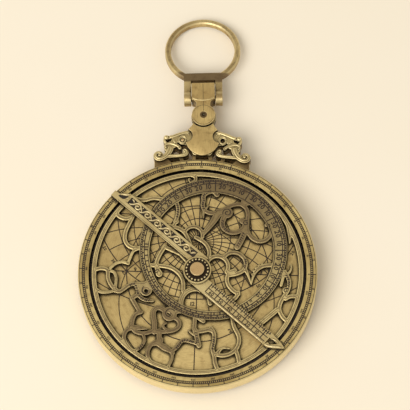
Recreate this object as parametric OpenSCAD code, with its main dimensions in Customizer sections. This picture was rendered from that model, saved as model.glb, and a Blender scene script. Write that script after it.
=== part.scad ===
// Planispheric astrolabe lying on its back, front side up.
// The origin is on the resting plane under the pivot, +Y points to the throne and +Z to the front.

/* [Mater] */
// Diameter of the graduated limb
disc_d = 100; // [90:1:115]
// Radial width of the limb's face
limb_w = 4.5; // [3.5:0.1:6]
// Thickness of the mater's back plate
plate_t = 3; // [2:0.1:4]
// Width of the chamfer round the limb's front edge
limb_chamfer = 0.7; // [0.3:0.1:1]
// Number of rivets that hold the limb to the back plate
limb_rivet_count = 8; // [6:1:12]
// Diameter of those rivets
limb_rivet_d = 2; // [1.2:0.1:2.4]

/* [Tympans] */
// Thickness of one latitude plate
tympan_t = 1.5; // [1:0.1:2]
// Width of the limb's key that keeps the plates from turning
key_w = 2.4; // [2:0.1:4]
// How far the key reaches inward from the limb
key_reach = 1.5; // [1.2:0.1:2]

/* [Rete] */
// Thickness of the rete
rete_t = 2; // [1.4:0.1:2.6]
// Open gap between the rete and the limb
rete_gap = 1.3; // [0.8:0.1:2]
// Width of the rete's rim
rim_w = 1.9; // [1.6:0.1:2.6]
// Width of an ordinary strap
strap_w = 1.7; // [1.4:0.05:2.2]
// Diameter of the rete's hub
rete_hub_d = 10.8; // [9:0.1:11.4]

/* [Rule] */
// Thickness of the rule
rule_t = 1.4; // [1:0.1:2]
// Width of each arm of the rule
rule_w = 6; // [5:0.1:7]
// Sideways step between the two arms
rule_step = 1; // [0:0.1:1.5]
// Angle of the rule's ornamental arm from +X
rule_angle = 140.5; // [0:0.5:360]
// Depth of the sunk scroll band
band_depth = 0.5; // [0.3:0.1:0.8]
// Diameter of the rule's hub
hub_d = 11.8; // [11:0.1:13]
// Height of the raised rim round the hub
hub_rim_h = 0.8; // [0.4:0.1:1.2]

/* [Pivot] */
// Diameter of the bolt where the moving pieces turn on it
bolt_d = 5; // [4:0.1:6]
// Diameter of the bolt's threaded end
thread_d = 4; // [3:0.1:4.4]
// Diameter of the bolt's head
head_d = 12; // [9:0.1:14]
// Thickness of the bolt's head
head_t = 1.5; // [1.2:0.1:2]
// Thickness of the washer behind the mater
washer_t = 0.5; // [0.3:0.1:1]
// Thickness of the beaded collar under the cap
collar_t = 0.9; // [0.8:0.1:1.2]
// Number of beads on the collar
bead_count = 20; // [16:1:24]
// Diameter of one bead
bead_d = 0.95; // [0.7:0.05:1]
// Thickness of the spring washer
spring_t = 0.4; // [0.3:0.05:0.5]
// Diameter of the cap nut
cap_d = 6; // [5.5:0.1:6.4]
// Height of the cap nut
cap_h = 1.4; // [1.2:0.1:2]

/* [Alidade] */
// Length of the alidade from tip to tip
alidade_len = 94; // [84:1:98]
// Width of the alidade's bar
alidade_w = 8; // [7:0.1:10]
// Thickness of the alidade's bar
alidade_t = 1.6; // [1.2:0.1:2]
// Distance from a tip of the alidade to its vane's hinge
vane_inset = 10; // [9:0.5:14]
// Height of a sight vane when it stands up
vane_len = 15; // [12:0.5:18]
// Width of a sight vane
vane_w = 7.4; // [7:0.1:9]
// Thickness of a sight vane
vane_t = 1.3; // [1:0.1:1.6]
// Diameter of a vane's hinge pin
vane_pin_d = 1; // [0.8:0.1:1.2]
// Diameter of the wider sight hole
sight_d = 1.4; // [1:0.1:2]

/* [Throne] */
// Thickness of the throne
throne_t = 6.4; // [6:0.1:7]
// Half the width of the throne's foot
throne_half_w = 20; // [18:0.5:22]
// Thickness of the raised shield
shield_t = 1; // [0.6:0.1:1.4]
// Width of the throne's scroll straps
scroll_w = 1.5; // [1.3:0.1:1.8]
// Distance from the limb's edge to the link's rivet
link_rise = 20.8; // [19.5:0.1:22]
// Diameter of the dowels that join the throne to the limb
dowel_d = 1.8; // [1.2:0.1:2.4]

/* [Suspension] */
// Radius of the link's round head
link_r = 5; // [4.6:0.1:5.2]
// Thickness of each cheek of the link
cheek_t = 2.5; // [2:0.1:3]
// Thickness of the throne's tang between the cheeks
tang_t = 3; // [2.4:0.1:4]
// Diameter of the link's rivet
link_rivet_d = 3; // [2:0.1:4]
// Width of the link's lug
lug_w = 10; // [9:0.1:11]
// Distance from the link's rivet to the ring's pin
pin_rise = 9; // [8.8:0.1:10]
// Diameter of the ring's pin
ring_pin_d = 2.4; // [2:0.1:3]
// Outer diameter of the ring
ring_d = 33; // [30:0.5:38]
// Radial width of the ring's section
ring_w = 2.5; // [2:0.1:3]
// Thickness of the ring's section
ring_t = 3.2; // [2.6:0.1:3.6]
// Distance from the ring's pin to the ring's centre
ring_rise = 24.4; // [24:0.1:25]
// Distance from the ring's pin to the straight bar
bar_rise = 8.6; // [8.4:0.1:10]
// Width of the straight bar
bar_w = 3.7; // [3:0.1:4.5]
// Width of each ear
ear_w = 3; // [2.4:0.1:3.6]
// Radius of an ear's knuckle
knuckle_r = 3.2; // [2.8:0.1:3.5]
// Sideways lean of the link in the rest pose
link_lean = 3; // [-10:0.5:10]

/* [Fits] */
// Radial clearance of everything that turns on a pin
turn_fit = 0.05; // [0.03:0.01:0.08]
// Gap between flat faces that slide past each other
slide_gap = 0.1; // [0.05:0.05:0.2]
// Side clearance between moving pieces
side_gap = 0.3; // [0.2:0.05:0.4]

/* [Hidden] */

brass = [0.75, 0.67, 0.44];
pale_brass = [0.8, 0.72, 0.5];
dark_brass = [0.5, 0.43, 0.3];
warm_brass = [0.82, 0.66, 0.42];

fine = 96;
overlap = 1;

// Radii of the disc, from the outside in
limb_r = disc_d / 2;
recess_r = limb_r - limb_w;
tympan_r = recess_r - side_gap;
rete_r = recess_r - rete_gap;
bolt_r = bolt_d / 2;
turn_r = bolt_r + turn_fit;

// Heights, from the resting plane up
knuckle_h = vane_pin_d / 2 + 0.6;
bar_z = max(vane_t + side_gap, head_t + slide_gap);
washer_z = bar_z + alidade_t + slide_gap;
mater_z = washer_z + washer_t;
recess_z = mater_z + plate_t;
tympan_count = 3;
rete_z = recess_z + tympan_count * tympan_t + slide_gap;
limb_top = rete_z + rete_t + slide_gap;
rule_z = limb_top + slide_gap;
hub_top = rule_z + rule_t;
collar_z = hub_top + slide_gap;
cap_z = collar_z + collar_t;
cap_wall = 0.4;

// Bores of the beaded collar
bead_ring_r = hub_d / 2 - 1.4;
collar_r = bead_ring_r + bead_d / 2 + 0.15;
hub_rim_r = collar_r + 0.15;
spring_r = 3.4;

// Throne, link and ring heights
throne_z = mater_z + 1.6;
throne_top = throne_z + throne_t;
mid_z = throne_z + throne_t / 2;
link_y = limb_r + link_rise;
link_half_t = tang_t / 2 + slide_gap + cheek_t;
tang_r = link_r + 0.3;
link_clear_r = tang_r + 0.4;
ring_r = ring_d / 2;
ring_reach = ring_rise + ring_r;
ring_drop = asin(mid_z / norm([ring_reach, ring_t / 2])) - atan(ring_t / 2 / ring_reach);

// The rete's drawing is made for this radius and grows with the disc
drawn_r = 44.2;
k = rete_r / drawn_r;
ecliptic_centre = [6.3, 10.2];
ecliptic_r = 31;
ecliptic_inner_centre = [5.5, 9];
ecliptic_inner_r = 26;

// A point of the drawing, brought to the middle of the rim
function at_rim(p) = p * (rete_r - rim_w / 2) / (k * norm(p));

// Curves

function along(p, i, t) =
    let (
        b = p[i],
        c = p[i + 1],
        a = i > 0 ? p[i - 1] : 2 * b - c,
        d = i < len(p) - 2 ? p[i + 2] : 2 * c - b
    )
    0.5 * (2 * b + (c - a) * t + (2 * a - 5 * b + 4 * c - d) * t * t + (3 * b - a - 3 * c + d) * t * t * t);

function smooth(p, steps) = [
    for (i = [0 : len(p) - 2], s = [0 : steps - 1]) along(p, i, s / steps),
    p[len(p) - 1]
];

function side_step(path, i, half) =
    let (
        before = path[max(i - 1, 0)],
        after = path[min(i + 1, len(path) - 1)],
        d = after - before,
        n = [-d[1], d[0]] / norm(d)
    )
    n * half;

// A strap of varying width along a smooth curve through a few points, with round ends.
module strap(points, w = strap_w, w_mid = undef, w_end = undef, steps = 3) {
    path = smooth(points, steps);
    last = len(path) - 1;
    tip = w_end == undef ? w : w_end;
    middle = w_mid == undef ? (w + tip) / 2 : w_mid;
    widths = [[0, w], [0.5, middle], [1, tip]];
    for (i = [0 : last - 1]) {
        s0 = side_step(path, i, lookup(i / last, widths) / 2);
        s1 = side_step(path, i + 1, lookup((i + 1) / last, widths) / 2);
        polygon([path[i] + s0, path[i + 1] + s1, path[i + 1] - s1, path[i] - s0]);
    }
    translate(path[0]) circle(d = w, $fn = 12);
    translate(path[last]) circle(d = tip, $fn = 12);
}

// A strap along a circle, from one angle to another.
module arc_strap(centre, r, from, to, w = strap_w) {
    count = max(3, ceil(abs(to - from) / 15));
    points = [
        for (i = [0 : count])
            let (a = from + (to - from) * i / count)
            centre + r * [cos(a), sin(a)]
    ];
    strap(points, w, steps = 1);
}

module disc(centre, r) {
    translate(centre) circle(r = r, $fn = 20);
}

module tube(outer, inner, h) {
    difference() {
        cylinder(r = outer, h = h, $fn = fine);
        translate([0, 0, -overlap]) cylinder(r = inner, h = h + 2 * overlap, $fn = fine);
    }
}

// Mater

module mater_plate() {
    color(brass)
    translate([0, 0, mater_z]) difference() {
        rotate_extrude($fn = fine) polygon([
            [bolt_r, 0], [limb_r - limb_chamfer, 0], [limb_r, limb_chamfer], [limb_r, plate_t],
            [bolt_r, plate_t]
        ]);
        limb_rivet_places() translate([0, 0, -overlap])
            cylinder(d = limb_rivet_d, h = plate_t + 2 * overlap, $fn = 24);
    }
}

module limb_rivet_places() {
    for (i = [0 : limb_rivet_count - 1])
        rotate([0, 0, (i + 0.5) * 360 / limb_rivet_count])
            translate([recess_r + limb_w / 2, 0, 0]) children();
}

module limb_ring() {
    h = limb_top - recess_z;
    rivet_depth = h / 2;
    color(brass)
    translate([0, 0, recess_z]) difference() {
        union() {
            rotate_extrude($fn = fine) polygon([
                [recess_r, 0], [limb_r, 0], [limb_r, h - limb_chamfer], [limb_r - limb_chamfer, h],
                [recess_r, h]
            ]);
            translate([-key_w / 2, recess_r - key_reach, 0])
                cube([key_w, key_reach + overlap, tympan_count * tympan_t]);
        }
        limb_rivet_places() translate([0, 0, -overlap])
            cylinder(d = limb_rivet_d, h = rivet_depth + overlap, $fn = 24);
        translate([0, 0, -recess_z]) throne_dowel_places()
            cylinder(d = dowel_d, h = dowel_len, center = true, $fn = 24);
    }
}

module limb_rivets() {
    color(dark_brass)
    limb_rivet_places() translate([0, 0, mater_z])
        cylinder(d = limb_rivet_d, h = plate_t + (limb_top - recess_z) / 2, $fn = 24);
}

// Tympans

module tympan(level) {
    color(warm_brass)
    translate([0, 0, recess_z + level * tympan_t]) difference() {
        cylinder(r = tympan_r, h = tympan_t, $fn = fine);
        translate([-key_w / 2 - slide_gap, recess_r - key_reach - slide_gap, -overlap])
            cube([key_w + 2 * slide_gap, key_reach + slide_gap + overlap, tympan_t + 2 * overlap]);
        translate([0, 0, -overlap]) cylinder(r = turn_r, h = tympan_t + 2 * overlap, $fn = fine);
    }
}

module tympan_rear() {
    tympan(0);
}

module tympan_middle() {
    tympan(1);
}

module tympan_front() {
    tympan(2);
}

// Rete

wide_w = strap_w * 1.25;
thin_w = strap_w * 0.75;
point_w = strap_w * 0.3;

// Rim, ecliptic ring and hub
module rete_frame() {
    difference() {
        circle(r = rete_r, $fn = fine);
        circle(r = rete_r - rim_w, $fn = fine);
    }
    difference() {
        intersection() {
            translate(k * ecliptic_centre) circle(r = k * ecliptic_r, $fn = fine);
            circle(r = rete_r - rim_w / 2, $fn = fine);
        }
        translate(k * ecliptic_inner_centre) circle(r = k * ecliptic_inner_r, $fn = fine);
    }
    circle(d = rete_hub_d, $fn = fine);
}

// Two short arms beside the hub
module rete_hub_arms() {
    strap([[0.5, -4.4], [1.4, -8]], wide_w);
    strap([[-3.4, 3.6], [-7.6, 8]], wide_w);
}

// Straps between the rim and the ecliptic ring, upper left
module rete_upper_left() {
    strap([at_rim([-35.8, 25.2]), [-33.5, 23.2], [-31, 22.5], [-28.6, 23.2]]);
    strap([[-27.6, 24.9], [-29.2, 21], [-30.8, 17], [-31, 13.2], [-29.4, 10.6], [-26.6, 9.5], [-24.2, 9.8]]);
    strap([[-36.4, 0.6], [-34.3, 2.6], [-31.5, 3.4], [-29, 2.7]], thin_w);
    strap([[-29.2, 2.8], [-28.3, 5.5], [-27.2, 8.2], [-25, 9.4]], thin_w);
    strap([at_rim([-28, 30.8]), [-24, 30.9], [-20, 32], [-15.5, 31.6]]);
    strap([at_rim([-9, 43.2]), [-4.6, 42.9], [-2.4, 41.8], [-2.5, 40.1], [-4.1, 39.6], [-4.9, 40.8]],
          strap_w, w_end = thin_w);
}

// Loops and leaves between the rim and the ecliptic ring, left
module rete_left() {
    strap([at_rim([-43, -0.5]), [-40.3, 0.4], [-37.6, -0.4], [-37.2, -3.8], [-35.6, -7], [-33, -9.3]]);
    strap([[-37, -0.5], [-34.8, -1.2], [-33.8, -3.8], [-33.9, -7.6]], thin_w);
    strap([at_rim([-42.6, -8.4]), [-39.7, -10], [-36.3, -9.8], [-34, -9]], thin_w);
    strap([[-34, -9.2], [-32, -9.5], [-30.2, -8.2], [-27.8, -6.4], [-25, -5.9], [-22.3, -6], [-20.4, -5]]);
    strap([[-25.3, -6.2], [-24.5, -8.5], [-24, -11], [-21.5, -12.8], [-18, -13.1]], wide_w, w_end = thin_w);
    difference() {
        disc([-21.1, -8.6], 2.6);
        disc([-21.1, -9], 0.8);
    }
    strap([[-20.8, -7], [-18.8, -6.4]], wide_w);
    disc([-23.6, -7.2], 1);
    strap([[-24.4, -10.8], [-26.9, -12.3]]);
    strap([[-27, -12.1], [-23.6, -17.6]]);
    strap([[-22.7, -18.2], [-24.8, -19], [-25.9, -21], [-26.3, -23.8]]);
    strap([[-27.4, -24.3], [-23.7, -24.9], [-19.8, -25.3]], thin_w, w_mid = wide_w, w_end = point_w);
}

// Circles and the knot between the rim and the ecliptic ring, lower left
module rete_lower_left() {
    strap([[-25, -24.8], [-28.2, -26], [-29.3, -28.5], [-28.8, -31], at_rim([-26.6, -33.8])]);
    strap([[-26, -25.3], [-24.6, -26.6], [-22, -27.3], [-19.5, -26.9], [-17.3, -26]]);
    strap([[-21.6, -27.4], [-20.7, -30], [-21.5, -32.2], [-23, -33.8], at_rim([-25.5, -35.3])], thin_w);
    arc_strap([-14, -35.6], 5.3, 100, 262, strap_w);
    strap([[-13.8, -29.6], [-14.2, -31], [-17.6, -31.8]]);
    strap([[-16.2, -31.2], [-12.5, -32.9], [-8.6, -35.3]], thin_w, w_mid = 1.7 * strap_w);
    strap([[-9.5, -34.6], [-9, -37.4], at_rim([-10.6, -41])], thin_w);
    strap([[-16.8, -26.6], [-16.9, -22.8], [-17.6, -19.3], [-17.2, -17], [-15.4, -16], [-12.4, -17.4]],
          wide_w);
    difference() {
        disc([-10.9, -18.6], 3.1);
        strap([[-11.8, -18.2], [-10.6, -19.2]], point_w);
    }
    strap([[-8.6, -17.6], [-6.6, -17.2]], wide_w);
    strap([[-8.7, -20.2], [-6.9, -21.6], [-6.7, -23.8], [-8.4, -25.4], [-11.5, -26.2], [-17, -26.6]]);
    strap([[-11.4, -25.6], [-13, -24.6], [-13.2, -23.2], [-12.2, -22.7]], thin_w, w_end = point_w * 1.6);
    strap([[-14.9, -26], [-14.8, -28], [-14.5, -30.6]], wide_w);
    strap([[-9.4, -34.6], [-7, -32.4], [-6, -30.8], [-4.6, -29.7], [-1.5, -30.1], [1.8, -31.2]]);
}

// Leaves and the double loop between the rim and the ecliptic ring, bottom and lower right
module rete_lower_right() {
    strap([[-0.3, -19.8], [-0.4, -24.9]]);
    strap([[1, -20.2], [3.3, -21.4]], thin_w, w_end = strap_w);
    strap([[-0.2, -25], [0.5, -27], [1, -29], [1.8, -31.8]], wide_w);
    strap([[0.2, -26], [3, -25.6], [5.5, -25], [7.4, -25.6]]);
    strap([[0.4, -27.6], [-1.4, -26.7], [-2.9, -25.3]], thin_w, w_end = point_w);
    strap([[6.4, -24.2], [7.8, -26.5], [7.9, -30], [7.3, -33], [8.2, -36], [8.6, -38.8],
          at_rim([9.8, -41.8])]);
    strap([[15.2, -19.6], [16, -23.4], [17.9, -27], [18.2, -30.3], [16.8, -33.3], [14.2, -35.2],
          [11.2, -35.8], [8.2, -35.2]]);
    strap([[9.4, -35], [11.4, -32.6], [14.4, -32.8]], strap_w, w_end = point_w);
    strap([[17.2, -33.8], [18.1, -36.5], at_rim([18.7, -39.4])]);
    strap([[26.2, -22.3], [33.6, -15.6]], wide_w);
}

// Straps between the rim and the ecliptic ring, right
module rete_right() {
    strap([[36.3, 0.8], [37.8, -1.6], [38.4, -4], [37.9, -7], [36.4, -9.6], [34.9, -12.6], [34.5, -15.6],
          [35.9, -18.6], at_rim([39.6, -21.4])]);
    disc([37, -7.2], 1.4);
    strap([[38.9, 4.3], [39.1, 2.5], [38.4, 0.8], [37, -0.3]], point_w, w_end = thin_w);
    strap([[37, -10.8], [39, -9.7], at_rim([42.8, -9.8])]);
    strap([at_rim([35.6, 24.8]), [37.2, 21.6], [37.9, 18.4], [38.2, 15.8], [38.2, 13.7]],
          wide_w, w_mid = strap_w, w_end = point_w * 1.5);
    strap([[38.1, 18.1], at_rim([41.6, 15.6])], thin_w);
    strap([[35, -5], [36, -0.6], [36.6, 1.2]], thin_w);
}

// Pointers and loops inside the ecliptic ring, upper left
module rete_inner_left() {
    strap([[-11.6, 31.6], [-14.3, 27.6], [-17.6, 23.8]], wide_w);
    strap([[-10.4, 31.6], [-9.2, 28], [-9.2, 25], [-9.8, 22.4]]);
    disc([-9.8, 21.8], 1.2);
    strap([[-9.9, 21.4], [-11, 19.4]], thin_w, w_end = strap_w);
    strap([[-12.6, 19.8], [-8.6, 18.8], [-6, 17], [-4.5, 14.3], [-3.4, 11.8]]);
    arc_strap([-2.3, 15.9], 3.9, -10, 165, 0.9 * strap_w);
    strap([[-1.2, 15], [2, 13.2], [4, 10.8], [4.7, 8], [4, 3.8]]);
    strap([[-13.9, 10.8], [-15.9, 7.3], [-17.2, 3.7], [-17, 1]]);
    strap([[-14.2, 10.5], [-10.5, 8.9], [-6.6, 7.2]]);
    strap([[-19.8, 2.3], [-14, 2], [-10.5, 1.1], [-7.8, -0.9], [-6.2, -3.3], [-5.7, -5.6], [-5.6, -8.6]]);
    strap([[-17, 1.2], [-15.9, -1.4]], strap_w, w_end = 1.7 * strap_w);
    arc_strap([-0.3, -13.6], 6.1, 0, 190, wide_w);
}

// Pointers and loops inside the ecliptic ring, upper right
module rete_inner_top() {
    strap([[7.1, 34.2], [5.4, 35.7], [3, 35.1], [1.4, 33.5], [1.5, 31.5], [1.1, 29.5], [1.9, 27.2]],
          wide_w, w_end = strap_w);
    strap([[1.8, 27.2], [1.6, 25.4], [1.7, 23.8]], thin_w, w_end = point_w);
    strap([[1.9, 26.9], [3.6, 29.2]], thin_w, w_end = point_w);
    strap([[1.9, 27], [4.4, 25.9], [7.2, 26.2], [10.4, 27.8]]);
    strap([[8, 26.2], [5.4, 21.5], [1.6, 16.4]], 2 * strap_w, w_end = strap_w);
    disc([11.6, 26.3], 2.4);
    strap([[9.8, 27.6], [13.4, 29.6], [17, 30.2], [19.4, 28.6], [20.3, 26], [20.2, 23.3], [20.2, 20],
          [20.7, 17.7],
        [22.3, 15.4], [25, 14], [27.8, 14.4], [29.8, 16.4], [30.4, 18.8], [29.6, 21.2], [28.3, 21.3]]);
    strap([[17.2, 35.4], [18.2, 32.6], [18, 30.2]]);
    strap([[18.6, 30.4], [21.5, 31.2], [24, 31.8]], wide_w);
    strap([[10.6, 25], [9.7, 22], [10.3, 19.4], [13, 17.6], [16, 17.7], [18.6, 19.4], [19.3, 21.7],
          [18, 22.9]], 1.5 * strap_w, w_mid = strap_w);
    strap([[19.3, 17.9], [17.7, 14], [16.3, 11.2]], 1.5 * strap_w);
}

// Scrolls right of the pivot
module rete_inner_right() {
    arc_strap([8.2, 2.4], 4.6, -30, 150);
    strap([[10.8, 6.6], [13, 8.5], [16.5, 8.6], [19.3, 6.4], [20.1, 3.6], [19, 0.9], [16.5, -0.5],
          [13.4, -1.2]]);
    strap([[15.6, 0.9], [13.4, 0], [12.4, -2.6], [13, -5.4], [15, -7.8], [17.4, -9.3]]);
    strap([[17.3, -8.6], [16.5, -10.6], [14.8, -12.2], [12.4, -14.4]]);
    strap([[19.8, 1.8], [21.1, -0.9], [22.6, -4.9]], strap_w, w_end = point_w);
    strap([[22.6, -5], [23.2, -1.8], [24.4, 0.9], [26.4, 2.7], [28.8, 3.5], [32.6, 3.7]],
          point_w, w_mid = strap_w, w_end = strap_w);
    for (a = [110, 124, 138, 152, 166])
        translate([29.2, -2.2] + 6.5 * [cos(a), sin(a)]) circle(r = 0.55, $fn = 8);
}

// One group of straps, kept inside the rim, with the hairline slits between its straps closed
module strap_group() {
    closing = 0.06;
    offset(delta = -closing) offset(delta = closing) intersection() {
        circle(r = rete_r - rim_w / 2, $fn = fine);
        scale(k) children();
    }
}

module rete_outline() {
    rete_frame();
    strap_group() rete_hub_arms();
    strap_group() rete_upper_left();
    strap_group() rete_left();
    strap_group() rete_lower_left();
    strap_group() rete_lower_right();
    strap_group() rete_right();
    strap_group() rete_inner_left();
    strap_group() rete_inner_top();
    strap_group() rete_inner_right();
}

module rete() {
    color(brass)
    translate([0, 0, rete_z]) difference() {
        linear_extrude(rete_t) rete_outline();
        translate([0, 0, -overlap]) cylinder(r = turn_r, h = rete_t + 2 * overlap, $fn = fine);
    }
}

// Rule

// Outline of the ornamental arm: u runs outward from the pivot and v to its left side
rule_len = limb_r - 0.3;
leaf_len = limb_r - 0.8;

module scroll_arm() {
    polygon([
        [0, -rule_step], [rule_len, -rule_step], [rule_len, -rule_step - 0.45 * rule_w],
        [rule_len - 3.3, -rule_step - 0.5 * rule_w], [rule_len - 5, -rule_step - 0.68 * rule_w],
        [rule_len - 6, -rule_step - 0.96 * rule_w], [rule_len - 7.6, -rule_step - rule_w],
        [0, -rule_step - rule_w]
    ]);
}

module scale_arm() {
    difference() {
        polygon([
            [0, 0], [leaf_len - 8, 0], [leaf_len - 2, -0.8], [leaf_len, -1.5], [leaf_len - 0.8, -2.4],
            [leaf_len - 4, -4.6], [leaf_len - 5.6, -rule_w], [0, -rule_w]
        ]);
        polygon([
            [leaf_len - 7.6, -2], [leaf_len - 3.4, -2], [leaf_len - 5.8, -4.4], [leaf_len - 6.8, -4],
            [leaf_len - 7.6, -rule_w + 0.7]
        ]);
    }
}

module rule() {
    band_start = hub_d / 2 + 1;
    band_end = rule_len - 7.5;
    edge = 0.34 * rule_w;
    color(pale_brass)
    rotate([0, 0, rule_angle]) translate([0, 0, rule_z]) difference() {
        union() {
            linear_extrude(rule_t) scroll_arm();
            rotate([0, 0, 180]) linear_extrude(rule_t) scale_arm();
            cylinder(d = hub_d, h = rule_t + hub_rim_h, $fn = fine);
        }
        translate([0, 0, -overlap]) cylinder(r = turn_r, h = rule_t + 2 * overlap, $fn = fine);
        translate([0, 0, rule_t]) cylinder(r = hub_rim_r, h = hub_rim_h + overlap, $fn = fine);
        translate([band_start, -rule_step - rule_w + 1, rule_t - band_depth])
            cube([band_end - band_start, rule_w - 1 - edge, band_depth + overlap]);
    }
}

// Pivot

module collar() {
    color(pale_brass)
    translate([0, 0, collar_z]) difference() {
        union() {
            cylinder(r = collar_r, h = collar_t, $fn = fine);
            for (i = [0 : bead_count - 1])
                rotate([0, 0, (i + 0.5) * 360 / bead_count]) translate([bead_ring_r, 0, collar_t])
                    sphere(d = bead_d, $fn = 24);
        }
        translate([0, 0, -overlap]) cylinder(d = thread_d, h = collar_t + 2 * overlap, $fn = fine);
        translate([0, 0, -overlap]) cylinder(r = spring_r + slide_gap, h = overlap + spring_t, $fn = fine);
    }
}

module spring_washer() {
    color(dark_brass)
    translate([0, 0, collar_z]) tube(spring_r, thread_d / 2, spring_t);
}

module cap_nut() {
    color(warm_brass)
    translate([0, 0, cap_z]) difference() {
        rotate_extrude($fn = fine) polygon([
            [0, 0], [cap_d / 2, 0], [cap_d / 2, cap_h - 0.2], [cap_d / 2 - 0.2, cap_h], [0, cap_h]
        ]);
        translate([0, 0, -overlap]) cylinder(d = thread_d, h = overlap + cap_h - cap_wall, $fn = fine);
    }
}

module pivot_bolt() {
    color(dark_brass)
    rotate_extrude($fn = fine) polygon([
        [0, 0], [head_d / 2 - 0.4, 0], [head_d / 2, 0.4], [head_d / 2, head_t], [bolt_r, head_t],
        [bolt_r, collar_z], [thread_d / 2, collar_z], [thread_d / 2, cap_z + cap_h - cap_wall],
        [0, cap_z + cap_h - cap_wall]
    ]);
}

module back_washer() {
    color(dark_brass)
    translate([0, 0, washer_z]) tube(head_d / 2, bolt_r, washer_t);
}

// Alidade

vane_y = alidade_len / 2 - vane_inset;
barrel_w = 2.8;
lug_gap = 0.1;
vane_clear = 1.5;

module alidade_outline() {
    tip = alidade_len / 2;
    half = alidade_w / 2;
    circle(d = head_d + 2, $fn = fine);
    for (turn = [0, 180])
        rotate(turn) polygon([
            [0, 0], [half, 0], [half, tip - 5], [half - 2.4, tip - 4], [0, tip], [0, tip - 2],
            [-half, tip - 4.5], [-half, 4]
        ]);
}

module vane_axis_places() {
    for (turn = [0, 180])
        rotate([0, 0, turn]) translate([0, vane_y, knuckle_h]) rotate([0, 90, 0]) children();
}

module alidade() {
    lug_w = vane_w - 0.8;
    color(brass)
    difference() {
        union() {
            translate([0, 0, bar_z]) linear_extrude(alidade_t) alidade_outline();
            vane_axis_places() cylinder(r = knuckle_h, h = lug_w, center = true, $fn = 48);
            for (turn = [0, 180])
                rotate([0, 0, turn]) translate([-lug_w / 2, vane_y - knuckle_h, knuckle_h])
                    cube([lug_w, 2 * knuckle_h, bar_z - knuckle_h + alidade_t / 2]);
        }
        for (turn = [0, 180])
            rotate([0, 0, turn]) translate([-barrel_w / 2 - lug_gap, vane_y - vane_clear, -overlap])
                cube([barrel_w + 2 * lug_gap, 2 * vane_clear, bar_z + alidade_t + 2 * overlap]);
        vane_axis_places() cylinder(d = vane_pin_d, h = vane_w + overlap, center = true, $fn = 36);
        translate([0, 0, -overlap]) cylinder(r = turn_r, h = bar_z + alidade_t + 2 * overlap, $fn = fine);
    }
}

// A folded sight vane, drawn for the +Y end of the alidade
module sight_vane() {
    root = vane_clear + 0.1;
    color(pale_brass)
    translate([0, vane_y, 0]) difference() {
        union() {
            translate([0, 0, knuckle_h]) rotate([0, 90, 0])
                cylinder(r = knuckle_h, h = barrel_w, center = true, $fn = 48);
            translate([-barrel_w / 2, -root - overlap, 0]) cube([barrel_w, root + overlap, vane_t]);
            linear_extrude(vane_t) polygon([
                [-vane_w / 2, -root], [vane_w / 2, -root], [vane_w / 2, -vane_len + 3],
                [vane_w / 4, -vane_len + 2.4], [0, -vane_len], [-vane_w / 4, -vane_len + 2.4],
                [-vane_w / 2, -vane_len + 3]
            ]);
        }
        translate([0, 0, knuckle_h]) rotate([0, 90, 0])
            cylinder(d = vane_pin_d + 2 * turn_fit, h = barrel_w + 2 * overlap, center = true, $fn = 36);
        translate([0, -0.42 * vane_len, -overlap]) cylinder(d = sight_d, h = vane_t + 2 * overlap, $fn = 24);
        translate([0, -0.68 * vane_len, -overlap])
            cylinder(d = sight_d / 2, h = vane_t + 2 * overlap, $fn = 24);
    }
}

module vane_pin() {
    color(dark_brass)
    translate([0, vane_y, knuckle_h]) rotate([0, 90, 0])
        cylinder(d = vane_pin_d, h = vane_w - 0.8, center = true, $fn = 36);
}

module sight_vane_upper() {
    sight_vane();
}

module sight_vane_lower() {
    rotate([0, 0, 180]) sight_vane();
}

module vane_pin_upper() {
    vane_pin();
}

module vane_pin_lower() {
    rotate([0, 0, 180]) vane_pin();
}

// Throne: x is measured from the middle and y from the limb's topmost point

dowel_len = 5;
web_t = throne_t / 2 + dowel_d / 2 + 0.3;
dowel_inset = 5.4;
dowel_spread = asin((throne_half_w - dowel_inset) / limb_r);

module throne_dowel_places() {
    for (side = [-1, 1])
        rotate([0, 0, side * dowel_spread]) translate([0, limb_r, mid_z]) rotate([90, 0, 0]) children();
}

eye_at = [8.6, 9.4];
eye_r = 0.95;
shield_top = 16.4;

module throne_half() {
    // Scroll that rises from the foot and curls into a volute
    strap([[13.6, 7], [13.9, 4.6], [15, 2.5], [17, 0.8], [19, 0.5], [20, 1.8], [19.2, 3.1], [17.8, 3.1],
          [17.2, 2.2]],
        2.1 * scroll_w, w_mid = 1.2 * scroll_w, w_end = scroll_w);
    disc([18, 1.8], 1.3);
    // Small curl beside the shield
    strap([[15, 1.8], [11.8, 2], [9, 2.2], [6.6, 2.9], [6.4, 4.6], [7.6, 5]],
          scroll_w, w_end = 0.7 * scroll_w);
    disc([7.4, 3.8], 1);
    // Lower jaw and leaf
    strap([[9.6, 5.7], [11, 6.8], [13.6, 7.4], [15.6, 6.7], [15.4, 4.8]], scroll_w);
    // Brow, snout and front of the head
    strap([[3.8, 13.4], [6.6, 12.9], [10.4, 11.7], [13.2, 10.6], [15.6, 10.3]],
          scroll_w, w_mid = 1.2 * scroll_w);
    disc([15.6, 10.2], 1.2);
    strap([[16, 10], [16.3, 8.8], [15.5, 7.6], [14, 7.2]], 0.8 * scroll_w);
    // Cheek, neck and eye
    strap([[7, 10.4], [10, 10], [12, 8.8], [12.4, 7]], 2 * scroll_w);
    strap([[4.4, 9], [5.8, 11.4], [8, 11.2]], 2.2 * scroll_w);
    disc(eye_at, 2.2);
    strap([[7.4, 8.2], [4.4, 7.6]], 1.5 * scroll_w);
}

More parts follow.
